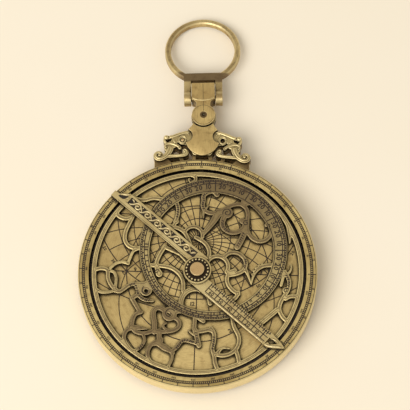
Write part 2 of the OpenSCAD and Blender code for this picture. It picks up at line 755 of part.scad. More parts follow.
// Lower layer that carries the scrolls on the limb
module throne_web() {
    base_h = 1.3;
    intersection() {
        circle(r = limb_r + base_h, $fn = 120);
        translate([-throne_half_w, limb_r - 8]) square([2 * throne_half_w, 20]);
    }
    translate([0, limb_r]) for (side = [-1, 1]) scale([side, 1]) {
        polygon([[11.5, -2], [20.2, -5.5], [20.4, 0.4], [15, 1.6]]);
        strap([[9.3, 2.6], [8.4, 0.2]], scroll_w);
        strap([[3.4, 2.8], [3.6, 0]], scroll_w);
    }
}

module throne_outline() {
    closing = 0.08;
    difference() {
        offset(delta = -closing) offset(delta = closing) translate([0, limb_r]) {
            throne_half();
            mirror([1, 0, 0]) throne_half();
            polygon([
                [-6.2, 13.9], [-4.4, shield_top], [4.4, shield_top], [6.2, 13.9], [4.6, 10.6], [7, 7.4],
                [3.6, 2.6], [-3.6, 2.6], [-7, 7.4], [-4.6, 10.6]
            ]);
        }
        translate([0, link_y]) circle(r = link_clear_r, $fn = fine);
        for (side = [-1, 1])
            translate([side * eye_at[0], limb_r + eye_at[1]]) circle(r = eye_r, $fn = 24);
    }
}

module throne() {
    color(brass)
    difference() {
        union() {
            translate([0, 0, throne_z]) linear_extrude(throne_t) throne_outline();
            translate([0, 0, throne_z]) linear_extrude(web_t) throne_web();
            translate([0, link_y, mid_z - tang_t / 2]) cylinder(r = tang_r, h = tang_t, $fn = fine);
            translate([-tang_r + 0.8, limb_r + 12, mid_z - tang_t / 2])
                cube([2 * tang_r - 1.6, link_rise - 12, tang_t]);
        }
        cylinder(r = limb_r, h = throne_top + overlap, $fn = fine);
        translate([0, link_y, mid_z - tang_t])
            cylinder(d = link_rivet_d + 2 * turn_fit, h = 2 * tang_t, $fn = 48);
        throne_dowel_places() cylinder(d = dowel_d, h = dowel_len, center = true, $fn = 24);
    }
}

module throne_shield() {
    notch_r = 2.9;
    lobe_r = 8.1;
    color(pale_brass)
    translate([0, limb_r, throne_top]) linear_extrude(shield_t) difference() {
        intersection() {
            translate([-0.6, 10.2]) circle(r = lobe_r, $fn = fine);
            translate([0.6, 10.2]) circle(r = lobe_r, $fn = fine);
        }
        for (side = [-1, 1]) {
            translate([side * 7.2, 11]) circle(r = notch_r, $fn = 48);
            scale([side, 1]) polygon([[10, 12.4], [6.2, 13.9], [4.4, shield_top], [4.4, 20], [10, 20]]);
        }
        translate([0, link_rise]) circle(r = link_clear_r, $fn = fine);
    }
}

module throne_dowels() {
    color(dark_brass)
    throne_dowel_places() cylinder(d = dowel_d, h = dowel_len, center = true, $fn = 24);
}

// Suspension

// Places its children in the leaning link's own frame, with the link's rivet at the origin
module on_link() {
    translate([0, link_y, mid_z]) rotate([0, 0, link_lean]) children();
}

// Places its children in the ring's own frame, with the ring's pin at the origin
module on_ring() {
    on_link() translate([0, pin_rise, 0]) rotate([-ring_drop, 0, 0]) children();
}

lug_top = 5.8;
lug_bottom = -1.8;

module swivel_link() {
    neck_w = 6;
    scoop_r = 2.2;
    slot = tang_t / 2 + slide_gap;
    color(brass)
    on_link() difference() {
        union() {
            translate([0, 0, -link_half_t]) cylinder(r = link_r, h = 2 * link_half_t, $fn = fine);
            translate([-neck_w / 2, 0, -link_half_t]) cube([neck_w, pin_rise, 2 * link_half_t]);
            translate([-lug_w / 2, pin_rise + lug_bottom - scoop_r, -link_half_t])
                cube([lug_w, lug_top - lug_bottom + scoop_r, 2 * link_half_t]);
        }
        for (side = [-1, 1])
            translate([side * (neck_w / 2 + scoop_r), pin_rise + lug_bottom - scoop_r, -link_half_t - overlap])
                cylinder(r = scoop_r, h = 2 * (link_half_t + overlap), $fn = 48);
        translate([0, 0, -slot]) cylinder(r = tang_r + side_gap, h = 2 * slot, $fn = fine);
        translate([-tang_r - side_gap, -tang_r - overlap, -slot])
            cube([2 * (tang_r + side_gap), tang_r + overlap, 2 * slot]);
        translate([0, 0, -link_half_t - overlap])
            cylinder(d = link_rivet_d, h = 2 * (link_half_t + overlap), $fn = 48);
        translate([0, pin_rise, 0]) rotate([0, 90, 0])
            cylinder(d = ring_pin_d + 2 * turn_fit, h = lug_w + 2 * overlap, center = true, $fn = 48);
    }
}

module link_rivet() {
    dimple_r = 0.8;
    color(dark_brass)
    on_link() difference() {
        cylinder(d = link_rivet_d, h = 2 * link_half_t, center = true, $fn = 48);
        translate([0, 0, link_half_t]) sphere(r = dimple_r, $fn = 32);
    }
}

module ring_section() {
    cut = 0.6;
    half_w = ring_w / 2;
    half_t = ring_t / 2;
    translate([ring_r - half_w, 0]) polygon([
        [-half_w + cut, -half_t], [half_w - cut, -half_t], [half_w, -half_t + cut], [half_w, half_t - cut],
        [half_w - cut, half_t], [-half_w + cut, half_t], [-half_w, half_t - cut], [-half_w, -half_t + cut]
    ]);
}

module suspension_ring() {
    ear_x = lug_w / 2 + side_gap;
    ear_len = bar_rise + bar_w / 2;
    bar_half = ear_x + ear_w;
    color(dark_brass)
    on_ring() difference() {
        union() {
            difference() {
                translate([0, ring_rise, 0]) rotate_extrude($fn = fine) ring_section();
                translate([-ring_r, -overlap, -ring_t])
                    cube([2 * ring_r, bar_rise + overlap, 2 * ring_t]);
            }
            translate([-bar_half, bar_rise, -ring_t / 2]) cube([2 * bar_half, bar_w, ring_t]);
            for (side = [-1, 1]) {
                translate([side * (ear_x + ear_w / 2), 0, 0]) rotate([0, 90, 0])
                    cylinder(r = knuckle_r, h = ear_w, center = true, $fn = 64);
                translate([side * (ear_x + ear_w / 2) - ear_w / 2, 0, -ring_t / 2])
                    cube([ear_w, ear_len, ring_t]);
            }
        }
        rotate([0, 90, 0]) cylinder(d = ring_pin_d, h = 2 * bar_half + overlap, center = true, $fn = 48);
    }
}

module ring_pin() {
    color(brass)
    on_ring() rotate([0, 90, 0])
        cylinder(d = ring_pin_d, h = lug_w + 2 * side_gap + 2 * ear_w, center = true, $fn = 48);
}

mater_plate();
limb_ring();
limb_rivets();
tympan_rear();
tympan_middle();
tympan_front();
rete();
rule();
collar();
spring_washer();
cap_nut();
pivot_bolt();
back_washer();
alidade();
sight_vane_upper();
sight_vane_lower();
vane_pin_upper();
vane_pin_lower();
throne();
throne_shield();
throne_dowels();
swivel_link();
link_rivet();
suspension_ring();
ring_pin();
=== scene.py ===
import math

import bmesh
import bpy
from mathutils import Matrix, Vector
from mathutils.bvhtree import BVHTree
from mathutils.geometry import delaunay_2d_cdt
from mathutils.kdtree import KDTree


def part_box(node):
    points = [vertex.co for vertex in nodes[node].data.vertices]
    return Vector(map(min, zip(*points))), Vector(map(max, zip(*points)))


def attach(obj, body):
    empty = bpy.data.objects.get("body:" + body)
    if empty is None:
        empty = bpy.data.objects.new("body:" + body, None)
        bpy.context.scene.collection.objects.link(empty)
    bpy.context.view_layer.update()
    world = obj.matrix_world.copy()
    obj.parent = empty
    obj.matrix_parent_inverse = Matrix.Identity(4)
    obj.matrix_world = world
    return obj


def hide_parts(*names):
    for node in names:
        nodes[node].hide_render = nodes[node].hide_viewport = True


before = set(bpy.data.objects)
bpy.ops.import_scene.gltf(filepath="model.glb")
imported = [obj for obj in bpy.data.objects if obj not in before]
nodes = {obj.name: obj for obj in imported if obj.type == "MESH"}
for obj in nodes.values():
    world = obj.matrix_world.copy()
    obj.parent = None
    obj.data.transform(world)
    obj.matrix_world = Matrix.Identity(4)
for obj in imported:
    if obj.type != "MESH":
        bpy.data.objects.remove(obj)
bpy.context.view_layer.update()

MM = 0.001


def low(node):
    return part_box(node)[0] / MM


def high(node):
    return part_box(node)[1] / MM


# Heights and places that the frame gives
PLATE_TOP = high("tympan_front").z
LIMB_TOP = high("limb_ring").z
LIMB_R = high("limb_ring").x
BACK_Z = low("mater_plate").z
RETE_LOW, RETE_TOP = low("rete").z, high("rete").z
THRONE_LOW = low("throne").z
SHIELD_LOW, SHIELD_TOP = low("throne_shield").z, high("throne_shield").z
THRONE_TOP = SHIELD_LOW
COLLAR_TOP = high("collar").z
LINK_TOP = high("swivel_link").z
LINK_AT = (low("link_rivet") + high("link_rivet")) / 2
PIN_AT = (low("ring_pin") + high("ring_pin")) / 2

# Sizes that belong to the looks
RULE_FACE = 15.0
BAND_FLOOR = 14.5
WEB_TOP = 9.8
ENGRAVED = 0.03
RULE_TURN = math.radians(-39.5)
LINK_TURN = math.radians(3)
SKY_R = 29.7
SKY_EDGE = 44.1
LATITUDE = math.radians(42)
OBLIQUITY = math.radians(23.44)
ECLIPTIC = ((6.3, 10.2), 31.0)
ECLIPTIC_INNER = ((5.5, 9.0), 26.0)


# Colours and materials

def rgb(red, green, blue):
    def linear(v):
        v /= 255
        return v / 12.92 if v <= 0.04045 else ((v + 0.055) / 1.055) ** 2.4
    return (linear(red), linear(green), linear(blue), 1.0)


class Graph:
    """Builds a material's nodes."""

    def __init__(self, name, shader="ShaderNodeBsdfPrincipled"):
        self.mat = bpy.data.materials.new(name)
        self.mat.use_nodes = True
        self.tree = self.mat.node_tree
        self.tree.nodes.clear()
        self.shader = self.add(shader)
        out = self.add("ShaderNodeOutputMaterial")
        self.tree.links.new(self.shader.outputs[0], out.inputs[0])
        coordinates = self.add("ShaderNodeTexCoord")
        self.place = coordinates.outputs["Object"]
        self.normal = coordinates.outputs["Normal"]

    def add(self, kind):
        return self.tree.nodes.new(kind)

    def put(self, value, socket):
        if isinstance(value, bpy.types.NodeSocket):
            self.tree.links.new(value, socket)
        else:
            socket.default_value = value

    def noise(self, scale, detail=4.0, vector=None):
        n = self.add("ShaderNodeTexNoise")
        self.put(vector or self.place, n.inputs["Vector"])
        self.put(scale, n.inputs["Scale"])
        self.put(detail, n.inputs["Detail"])
        return n.outputs["Fac"]

    def ramp(self, value, start, end, to=1.0):
        n = self.add("ShaderNodeMapRange")
        for item, name in ((value, "Value"), (start, "From Min"), (end, "From Max"), (to, "To Max")):
            self.put(item, n.inputs[name])
        return n.outputs["Result"]

    def mix(self, share, a, b):
        n = self.add("ShaderNodeMix")
        n.data_type = "RGBA"
        for item, index in ((share, 0), (a, 6), (b, 7)):
            self.put(item, n.inputs[index])
        return n.outputs[2]

    def math(self, operation, a, b=0.0, c=0.0):
        n = self.add("ShaderNodeMath")
        n.operation = operation
        for item, socket in zip((a, b, c), n.inputs):
            self.put(item, socket)
        return n.outputs[0]

    def split(self, vector):
        n = self.add("ShaderNodeSeparateXYZ")
        self.put(vector, n.inputs[0])
        return n.outputs

    def join(self, x, y, z):
        n = self.add("ShaderNodeCombineXYZ")
        for item, socket in zip((x, y, z), n.inputs):
            self.put(item, socket)
        return n.outputs[0]


# Tones that every brass shares, painted highlights and painted shade among them, its roughness where it is
# clean, and how far grime and painted shade reach from a corner
WORN_EDGE_HIGHLIGHT = rgb(250, 232, 176)
PAINTED_RIM_HIGHLIGHT = rgb(250, 234, 184)
WALL_PATINA_AND_SHADE = rgb(36, 26, 14)
BELOW_HEIGHT_DARK = rgb(52, 38, 24)
BAR_SHADE = rgb(112, 90, 62)
GRIME_AND_SHADE = rgb(34, 24, 13)
CLEAN_ROUGHNESS = 0.42
GRIME_AND_SHADE_REACH = 0.0016


def metal(name, bright, shade, patina, marks="plain", grime_and_shade=0.92, stain=0.5, walls=1.0, walls_within=1.0,
          edges=0.6, sweep=0.0, sweep_at=0, sweep_within=1.0, dark_below=None, dark_bar=None, rim_highlight=0.0):
    """Old brass with blotches of a second tone, spots of patina and fine marks.

    Upright faces keep dark patina and painted shade inside the radius walls_within, and the rim setting
    paints a highlight on those outside it. Eased edges are worn bright and carry a painted highlight, and
    grime and painted shade lie where faces meet. The sweep darkens two opposite sectors round the pivot, at
    an angle in degrees, and
    less so outside the radius sweep_within: a painted sheen of turned brass, partly also uneven patina. Both
    radii are in metres.
    dark_below is a height under which all is dark, and dark_bar the middle in y of a darker patch, both in
    millimetres.
    """
    g = Graph(name)
    x, y, z = g.split(g.place)
    radius = g.math("SQRT", g.math("ADD", g.math("MULTIPLY", x, x), g.math("MULTIPLY", y, y)))
    angle = g.math("ARCTAN2", y, x)
    blotch_and_sheen = g.ramp(g.noise(60, 5), 0.38, 0.66)
    spots = g.ramp(g.noise(430, 6), 0.5, 0.74)
    speck = g.noise(2600, 3)
    if marks == "turned":
        lines = g.noise(5200, 2, g.join(radius, g.math("MULTIPLY", angle, 0.002), z))
    elif marks == "along":
        lines = g.noise(4200, 2, g.join(x, g.math("MULTIPLY", y, 0.06), z))
    else:
        lines = g.noise(3400, 2)
    # A painted sheen of turned brass, partly also uneven patina: two opposite sectors round the pivot lean to
    # the darker tone
    if sweep:
        turn = g.math("MULTIPLY_ADD", angle, 2.0, -2 * math.radians(sweep_at))
        sector = g.math("MULTIPLY_ADD", g.math("COSINE", turn), 0.5, 0.5)
        share = g.math("MULTIPLY", sector, g.ramp(radius, 0.004, 0.022, sweep))
        outside = g.ramp(radius, sweep_within, sweep_within + 0.0006, 0.6)
        share = g.math("MULTIPLY", share, g.math("SUBTRACT", 1.0, outside))
        blotch_and_sheen = g.math("MAXIMUM", g.math("MULTIPLY", blotch_and_sheen, 1 - sweep), share)
    tone = g.mix(blotch_and_sheen, bright, shade)
    tone = g.mix(g.math("MULTIPLY", spots, stain), tone, patina)
    tone = g.mix(g.ramp(lines, 0.42, 0.72, 0.3), tone, patina)
    up = g.math("ABSOLUTE", g.split(g.normal)[2])
    # Eased edges turn pale: wear and a painted highlight
    if edges:
        eased = g.math("MULTIPLY", g.ramp(up, 0.97, 0.9), g.ramp(up, 0.4, 0.5, edges))
        tone = g.mix(eased, tone, WORN_EDGE_HIGHLIGHT)
    # Upright faces inside the radius turn dark: patina and painted shade
    if walls:
        inside = g.math("LESS_THAN", radius, walls_within)
        tone = g.mix(g.math("MULTIPLY", g.ramp(up, 0.5, 0.25, walls), inside), tone, WALL_PATINA_AND_SHADE)
    # Upright faces outside the radius turn pale: a painted highlight
    if rim_highlight:
        outside = g.math("GREATER_THAN", radius, walls_within)
        tone = g.mix(g.math("MULTIPLY", g.ramp(up, 0.5, 0.25, rim_highlight), outside), tone, PAINTED_RIM_HIGHLIGHT)
    # Everything below the given height turns dark
    if dark_below is not None:
        tone = g.mix(g.ramp(z, (dark_below + 0.06) * MM, (dark_below - 0.06) * MM), tone, BELOW_HEIGHT_DARK)
    if dark_bar is not None:
        off = g.math("ABSOLUTE", g.math("SUBTRACT", y, dark_bar * MM))
        across = g.ramp(g.math("ABSOLUTE", x), 0.0145, 0.0105, 0.85)
        tone = g.mix(g.math("MULTIPLY", g.ramp(off, 0.0028, 0.0020), across), tone, BAR_SHADE)
    # Grime and painted shade: ambient occlusion darkens corners, the faces beside walls and those under parts
    if grime_and_shade:
        corner = g.add("ShaderNodeAmbientOcclusion")
        corner.inputs["Distance"].default_value = GRIME_AND_SHADE_REACH
        corner.samples = 8
        tone = g.mix(g.ramp(corner.outputs["AO"], 0.84, 0.56, grime_and_shade), tone, GRIME_AND_SHADE)
    g.put(tone, g.shader.inputs["Base Color"])
    g.put(g.math("MULTIPLY_ADD", spots, 0.2, CLEAN_ROUGHNESS), g.shader.inputs["Roughness"])
    g.shader.inputs["Metallic"].default_value = 0.7
    bump = g.add("ShaderNodeBump")
    bump.inputs["Strength"].default_value = 0.5
    bump.inputs["Distance"].default_value = 0.00003
    g.put(g.math("ADD", speck, lines), bump.inputs["Height"])
    g.put(bump.outputs[0], g.shader.inputs["Normal"])
    return g.mat


def filling(name, dark, light):
    """Dark wax in engraved lines, with a little brass rubbed bare. The same tone makes the plate's painted
    gap shadow.
    """
    g = Graph(name)
    g.put(g.mix(g.ramp(g.noise(700, 4), 0.5, 0.78), dark, light), g.shader.inputs["Base Color"])
    g.shader.inputs["Roughness"].default_value = 0.7
    return g.mat


# The edge, wall, rim, sweep and grime settings below paint highlights, shade and a turned sheen into these
# tones
BODY = metal("body_brass", rgb(234, 210, 142), rgb(186, 161, 100), rgb(112, 88, 50), marks="turned",
             walls_within=0.0462, edges=0.5, rim_highlight=0.7)
PLATE = metal("plate_brass", rgb(238, 211, 144), rgb(182, 155, 98), rgb(128, 101, 59), marks="turned",
              sweep=0.6)
RETE = metal("rete_brass", rgb(234, 212, 148), rgb(134, 113, 78), rgb(88, 70, 45), edges=0.65, sweep=0.9,
             sweep_at=58, sweep_within=0.0415)
SCALE = metal("scale_brass", rgb(212, 190, 130), rgb(120, 100, 70), rgb(72, 56, 36), stain=0.6, sweep=0.85,
              sweep_at=72)
PALE = metal("pale_brass", rgb(230, 210, 152), rgb(194, 170, 114), rgb(124, 100, 60), stain=0.4)
LINK = metal("link_brass", rgb(226, 198, 132), rgb(190, 160, 102), rgb(118, 92, 52), marks="along", walls=0.5,
             edges=0.9)
THRONE = metal("throne_brass", rgb(214, 194, 136), rgb(160, 138, 90), rgb(90, 70, 42), walls=0.9, edges=0.8)
BEADS = metal("bead_brass", rgb(232, 216, 166), rgb(204, 184, 130), rgb(134, 110, 70), walls=0, edges=0,
              grime_and_shade=0.3, dark_below=COLLAR_TOP - 0.27)
SCROLLWORK = metal("scroll_brass", rgb(234, 217, 166), rgb(204, 184, 134), rgb(140, 116, 74), walls=0,
                   edges=0, grime_and_shade=0)
DARK = metal("dark_brass", rgb(118, 96, 62), rgb(82, 65, 40), rgb(50, 38, 25), walls=0)
RING = metal("ring_brass", rgb(222, 198, 140), rgb(172, 146, 97), rgb(98, 77, 47), walls=0, edges=0.4,
             stain=0.6, dark_bar=PIN_AT.y + 10.3)
WEB = metal("web_brass", rgb(190, 163, 110), rgb(140, 116, 75), rgb(80, 62, 39), walls=0, grime_and_shade=0.4)
CAP = metal("cap_brass", rgb(220, 186, 132), rgb(196, 160, 108), rgb(152, 118, 74), walls=0.8, stain=0.4)
LINES = filling("line_filling", rgb(40, 27, 14), rgb(84, 64, 36))
GROOVE = filling("strap_groove", rgb(92, 73, 46), rgb(134, 110, 74))
GROUND = filling("recess_ground", rgb(34, 24, 14), rgb(56, 42, 25))
# A painted shadow for the gap between the rete and the limb
GAP_SHADOW = filling("painted_gap_shadow", rgb(44, 33, 21), rgb(92, 72, 48))


# Making objects

def finish_piece(obj, material, body, smooth=35):
    mesh = obj.data
    mesh.materials.clear()
    mesh.materials.append(material)
    mesh.shade_smooth()
    mesh.set_sharp_from_angle(angle=math.radians(smooth))
    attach(obj, body)
    return obj


def new_piece(name, verts, faces, material, body, slot, smooth=35):
    mesh = bpy.data.meshes.new(name)
    mesh.from_pydata([tuple(c * MM for c in v) for v in verts], [], faces)
    bm = bmesh.new()
    bm.from_mesh(mesh)
    bmesh.ops.remove_doubles(bm, verts=bm.verts, dist=1e-8)
    bmesh.ops.dissolve_degenerate(bm, edges=bm.edges, dist=1e-8)
    bmesh.ops.recalc_face_normals(bm, faces=bm.faces)
    bm.to_mesh(mesh)
    bm.free()
    obj = bpy.data.objects.new(name, mesh)
    bpy.context.scene.collection.objects.link(obj)
    return finish_piece(obj, material, body, smooth)


def catmull(points, steps=6):
    """A smooth curve through the points, 2D or 3D."""
    pts = [Vector(p) for p in points]
    out = []
    for i, (b, c) in enumerate(zip(pts, pts[1:])):
        a = pts[i - 1] if i else 2 * b - c
        d = pts[i + 2] if i + 2 < len(pts) else 2 * c - b
        for s in range(steps):
            t = s / steps
            out.append(0.5 * (2 * b + (c - a) * t + (2 * a - 5 * b + 4 * c - d) * t * t
                              + (3 * b - a - 3 * c + d) * t ** 3))
    return out + [pts[-1]]


def on_circle(centre, r, degrees):
    a = math.radians(degrees)
    return (centre[0] + r * math.cos(a), centre[1] + r * math.sin(a))


def arc(centre, r, start, end, step=3.0):
    count = max(2, int(abs(end - start) / step))
    return [on_circle(centre, r, start + (end - start) * i / count) for i in range(count + 1)]


def spiral(centre, r0, r1, start, end):
    """A curve round a centre whose radius goes from one value to another."""
    count = max(4, int(abs(end - start) / 12))
    return [on_circle(centre, r0 + (r1 - r0) * i / count, start + (end - start) * i / count)
            for i in range(count + 1)]


GLYPHS = {}


def glyph(char):
    """A digit as a closed mesh one unit high, and its width."""
    if char not in GLYPHS:
        font = bpy.data.curves.new("digit", "FONT")
        font.body = char
        font.size = 1.4
        font.resolution_u = 2
        font.extrude = 0.5
        font.offset = 0.035
        holder = bpy.data.objects.new("digit", font)
        bpy.context.scene.collection.objects.link(holder)
        bpy.context.view_layer.update()
        mesh = holder.evaluated_get(bpy.context.evaluated_depsgraph_get()).to_mesh()
        verts = [v.co.copy() for v in mesh.vertices]
        faces = [list(f.vertices) for f in mesh.polygons]
        left = min(v.x for v in verts)
        width = max(v.x for v in verts) - left
        GLYPHS[char] = ([(v.x - left, v.y, v.z + 0.5) for v in verts], faces, width)
        bpy.data.objects.remove(holder)
        bpy.data.curves.remove(font)
    return GLYPHS[char]


class Engraving:
    """Strips, circles and digits that stand a hair above a flat face, as filled lines do."""

    def __init__(self, z, height=ENGRAVED):
        self.z0, self.z1 = z, z + height
        self.verts, self.faces = [], []

    def lift(self):
        """Lets the next lines stand a little higher, so that lines that cross share no face."""
        self.z1 += math.copysign(0.004, self.z1 - self.z0)

    def strip(self, points, width, closed=False):
        pts = [Vector(p[:2]) for p in points]
        count = len(pts)
        first = len(self.verts)
        for i, p in enumerate(pts):
            before = pts[i - 1] if i or closed else p
            after = pts[(i + 1) % count] if i + 1 < count or closed else p
            d = (after - before).normalized()
            side = Vector((-d.y, d.x)) * width / 2
            for q, z in ((p + side, self.z0), (p + side, self.z1), (p - side, self.z1), (p - side, self.z0)):
                self.verts.append((q.x, q.y, z))
        for i in range(count if closed else count - 1):
            a, b = first + 4 * i, first + 4 * ((i + 1) % count)
            for j in range(4):
                k = (j + 1) % 4
                self.faces.append((a + j, b + j, b + k, a + k))
        if not closed:
            last = first + 4 * (count - 1)
            self.faces.append((first, first + 1, first + 2, first + 3))
            self.faces.append((last + 3, last + 2, last + 1, last))

    def circle(self, centre, r, width, facets=180):
        self.strip([on_circle(centre, r, 360 * i / facets) for i in range(facets)], width, closed=True)

    def tick(self, centre, degrees, r0, r1, width):
        self.strip([on_circle(centre, r0, degrees), on_circle(centre, r1, degrees)], width)

    def clipped(self, points, width, keep):
        """The stretches of a line whose points pass the test."""
        run = []
        for p in list(points) + [None]:
            if p is not None and keep(p):
                run.append(p)
                continue
            if len(run) > 1:
                self.strip(run, width)
            run = []

    def hatch(self, points, length, spacing, width, keep):
        """Short strips across a curve, where their ends pass the test."""
        path = catmull([Vector(p) for p in points], 8)
        gone = 0.0
        for a, b in zip(path, path[1:]):
            gone += (b - a).length
            if gone >= spacing:
                gone -= spacing
                d = (b - a).normalized()
                side = Vector((-d.y, d.x)) * length / 2 + d * length * 0.2
                if keep(b - side) and keep(b + side):
                    self.strip([b - side, b + side], width)

    def number(self, text, place, height, turn, seen_from=1):
        """A number centred on a place, its top turned from +Y by an angle.

        seen_from is 1 for a number that is read from above, and -1 for one that is read from below.
        """
        gap = 0.12
        widths = [glyph(c)[2] for c in text]
        x = -(sum(widths) + gap * (len(text) - 1)) / 2
        a = math.radians(turn)
        for c, w in zip(text, widths):
            verts, faces, _ = glyph(c)
            first = len(self.verts)
            for vx, vy, vz in verts:
                px, py = (vx + x) * height * seen_from, (vy - 0.5) * height
                self.verts.append((place[0] + px * math.cos(a) - py * math.sin(a),
                                   place[1] + px * math.sin(a) + py * math.cos(a),
                                   self.z0 + vz * (self.z1 - self.z0)))
            self.faces += [tuple(first + i for i in f) for f in faces]
            x += w + gap

    def make(self, name, body, slot, material=None):
        return new_piece(name, self.verts, self.faces, material or LINES, body, slot)


def ridge(points, widths, z0, height, steps=6, sides=6):
    """A closed half-round strip along a smooth path. Returns its vertices and faces."""
    path = catmull(points, steps)
    count = len(path)
    verts, faces = [], []
    for i, p in enumerate(path):
        t = i / (count - 1) * (len(widths) - 1)
        j = min(int(t), len(widths) - 2)
        half = (widths[j] + (widths[j + 1] - widths[j]) * (t - j)) / 2
        end = min(i, count - 1 - i)
        half *= math.sqrt(min(1.0, (end + 0.4) / 2.4))
        lift = height * min(1.0, (end + 1.2) / 2.4)
        d = (path[min(i + 1, count - 1)] - path[max(i - 1, 0)]).normalized()
        side = Vector((-d.y, d.x))
        for s in range(sides + 1):
            a = math.pi * s / sides
            q = p + side * math.cos(a) * half
            verts.append((q.x, q.y, z0 + math.sin(a) * lift))
    ring = sides + 1
    for i in range(count - 1):
        for s in range(ring):
            k = (s + 1) % ring
            faces.append((i * ring + s, (i + 1) * ring + s, (i + 1) * ring + k, i * ring + k))
    faces.append(tuple(range(ring)))
    faces.append(tuple(range((count - 1) * ring, count * ring))[::-1])
    return verts, faces


def dome(centre, r, z0, height, rings=5, around=20):
    verts, faces = [(centre[0], centre[1], z0 + height)], []
    for i in range(1, rings + 1):
        a = math.pi / 2 * i / rings
        for j in range(around):
            x, y = on_circle(centre, r * math.sin(a), 360 * j / around)
            verts.append((x, y, z0 + height * math.cos(a)))
    for j in range(around):
        k = (j + 1) % around
        faces.append((0, 1 + j, 1 + k))
        for i in range(rings - 1):
            a = 1 + i * around
            faces.append((a + j, a + around + j, a + around + k, a + k))
    faces.append(tuple(1 + (rings - 1) * around + j for j in range(around))[::-1])
    return verts, faces


def joined(parts):
    verts, faces = [], []
    for v, f in parts:
        first = len(verts)
        verts += v
        faces += [tuple(first + i for i in face) for face in f]
    return verts, faces


# Plates cut along outlines that are read from the frame

def face_loops(node, z, up=1):
    """The closed outlines of a node's flat faces at a height. Seen from above, metal is on their left."""
    mesh = nodes[node].data

    def key(i):
        co = mesh.vertices[i].co
        return (round(co.x / MM, 4), round(co.y / MM, 4))

    edges = set()
    for poly in mesh.polygons:
        if poly.normal.z * up > 0.99 and abs(poly.center.z / MM - z) < 0.01:
            keys = [key(i) for i in poly.vertices][::up]
            for a, b in zip(keys, keys[1:] + keys[:1]):
                if (b, a) in edges:
                    edges.remove((b, a))
                elif a != b:
                    edges.add((a, b))
    following = dict(sorted(edges))
    loops = []
    while following:
        here = next(iter(following))
        loop = []
        while here in following:
            loop.append(here)
            here = following.pop(here)
        if len(loop) > 2:
            loops.append(loop)
    return loops


def rounded(loop, corner=38, passes=2):
    """Cuts the small turns of an outline into a smooth curve and keeps its true corners."""
    pts = []
    for p in loop:
        q = Vector(p)
        if not pts or (q - pts[-1]).length > 0.03:
            pts.append(q)
    for _ in range(passes):
        out = []
        for i, p in enumerate(pts):
            a, b = pts[i - 1] - p, pts[(i + 1) % len(pts)] - p
            turn = 180 - math.degrees(a.angle(b, 0))
            if turn > corner:
                reach = 0.12 / max(a.length, b.length, 0.48)
                out += [p + a * reach, p + b * reach]
            else:
                out += [p + a * 0.25, p + b * 0.25]
        pts = out
    return pts


def inset(loop, distance):
    """An outline moved to its left. Points that would pass each other are brought together."""
    count = len(loop)
    moved = []
    for i, p in enumerate(loop):
        before = (p - loop[i - 1]).normalized()
        after = (loop[(i + 1) % count] - p).normalized()
        left = Vector((-before.y, before.x))
        side = Vector((-before.y - after.y, before.x + after.x))
        side = side.normalized() if side.length > 1e-6 else left
        moved.append(p + side * distance / max(0.6, side.dot(left)))
    for _ in range(6):
        for i in range(count):
            j = (i + 1) % count
            if (loop[j] - loop[i]).dot(moved[j] - moved[i]) < 0:
                moved[i] = moved[j] = (moved[i] + moved[j]) / 2
    return moved


def around(items):
    """Each item of a closed row with the one after it."""
    row = list(items)
    return zip(row, row[1:] + row[:1])


def fill(loops):
    """Triangles on the left of closed outlines, as numbers of points, and the places where outlines cross."""
    points, edges = [], []
    for loop in loops:
        edges += around(range(len(points), len(points) + len(loop)))
        points += loop
    found, _, faces, origins, _, _ = delaunay_2d_cdt(points, edges, [], 1, 1e-6)
    crossings = [point for point, origin in zip(found, origins) if not origin]
    if crossings:
        return [], crossings
    number = {old: new for new, origin in enumerate(origins) for old in origin}
    border = {(number[a], number[b]) for a, b in edges}
    border -= {(b, a) for a, b in border}
    owner = {side: i for i, face in enumerate(faces) for side in around(face)}
    turned_over = [found[a] for a, b in border if (a, b) not in owner]
    if turned_over:
        return [], turned_over
    inside = {owner[side] for side in border}
    rest = list(inside)
    while rest:
        for a, b in around(faces[rest.pop()]):
            other = owner.get((b, a))
            if other is not None and other not in inside and (a, b) not in border:
                inside.add(other)
                rest.append(other)
    return [tuple(origins[i][0] for i in faces[j]) for j in sorted(inside)], []


def moved_in(loops, distance):
    """Outlines moved to their left, less far where they would cross."""
    rings = [inset(loop, distance) for loop in loops]
    for _ in range(10):
        crossings = fill(rings)[1]
        if not crossings:
            break
        for loop, ring in zip(loops, rings):
            for i, p in enumerate(ring):
                if min((p - c).length for c in crossings) < 0.4:
                    ring[i] = (p + loop[i]) / 2
    return rings


def cut_plate(name, outlines, z0, z1, ease, material, body, slot, steps=1, both=False):
    """A flat piece with eased edges, cut along closed outlines."""
    levels = []
    for s in range(steps + 1):
        a = math.pi / 2 * s / steps
        levels.append((ease * (1 - math.sin(a)), z1 - ease * (1 - math.cos(a))))
    levels += [(d, z0 + z1 - z) for d, z in reversed(levels)] if both else [(0, z0)]
    verts, faces = [], []
    rings = [moved_in(outlines, d) if d else outlines for d, _ in levels]
    for ring, (_, z) in zip(rings, levels):
        verts += [(p[0], p[1], z) for loop in ring for p in loop]
    size = sum(len(loop) for loop in outlines)
    for k in range(len(levels) - 1):
        start = k * size
        for loop in outlines:
            count = len(loop)
            for i in range(count):
                a, b = start + i, start + (i + 1) % count
                faces.append((a, b, b + size, a + size))
            start += count
    last = (len(levels) - 1) * size
    faces += fill(rings[0])[0]
    faces += [tuple(last + i for i in face[::-1]) for face in fill(rings[-1])[0]]
    return new_piece(name, verts, faces, material, body, slot)


